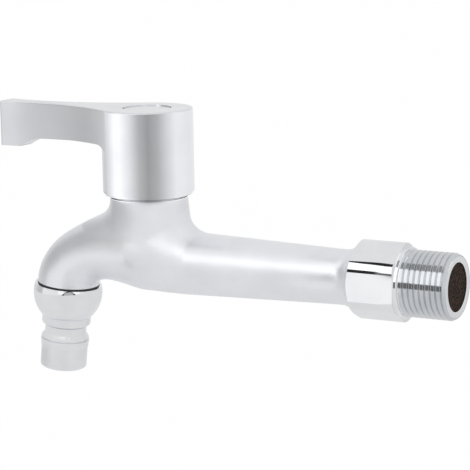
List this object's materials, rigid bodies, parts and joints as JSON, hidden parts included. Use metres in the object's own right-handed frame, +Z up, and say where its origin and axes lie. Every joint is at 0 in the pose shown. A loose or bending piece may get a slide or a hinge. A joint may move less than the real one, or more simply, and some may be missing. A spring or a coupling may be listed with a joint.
{
  "type": "washing machine tap",
  "caption": "Long-reach wall tap in satin chrome with a side lever on a quarter-turn ceramic valve, hexagon threaded inlet, ball nut and a push-on hose nozzle.",
  "frame": {"origin": "on the inlet thread axis, in the end face of the collar where the thread starts", "axes": "+Y along the inlet thread into the wall, -Y towards the spout, +Z up along the valve axis"},
  "size_m": [0.0302, 0.1678, 0.091],
  "materials": {
    "satin_chrome": "satin",
    "bright_chrome": "polished",
    "raw_brass": "satin",
    "black_rubber": "matte",
    "white_ceramic": "satin",
    "fibre": "matte",
    "white_plastic": "satin",
    "steel": "satin",
    "porous_bronze": "matte"
  },
  "bodies": {
    "tap_body": {"body_casting": "satin_chrome", "inlet_filter": "porous_bronze", "seat_seal": "black_rubber", "seat_seal_insert": "steel", "fixed_ceramic_disc": "white_ceramic", "headwork_housing": "raw_brass", "headwork_gasket": "fibre", "thrust_washer": "white_plastic", "outlet_o_ring": "black_rubber", "ball_nut": "bright_chrome", "outlet_gasket": "black_rubber", "hose_nozzle": "bright_chrome"},
    "handle": {"lever_handle": "satin_chrome", "index_cap": "satin_chrome", "handle_screw": "steel", "screw_washer": "steel", "spline_bush": "white_plastic", "spindle": "raw_brass", "spindle_o_ring_lower": "black_rubber", "spindle_o_ring_upper": "black_rubber", "spindle_circlip": "steel", "moving_ceramic_disc": "white_ceramic"}
  },
  "joints": [
    {"name": "handle_turn", "type": "hinge", "parent": "tap_body", "child": "handle", "pos_m": [0, -0.0945, 0.03], "axis": [0, 0, 1], "range_deg": [0, 90]}
  ]
}
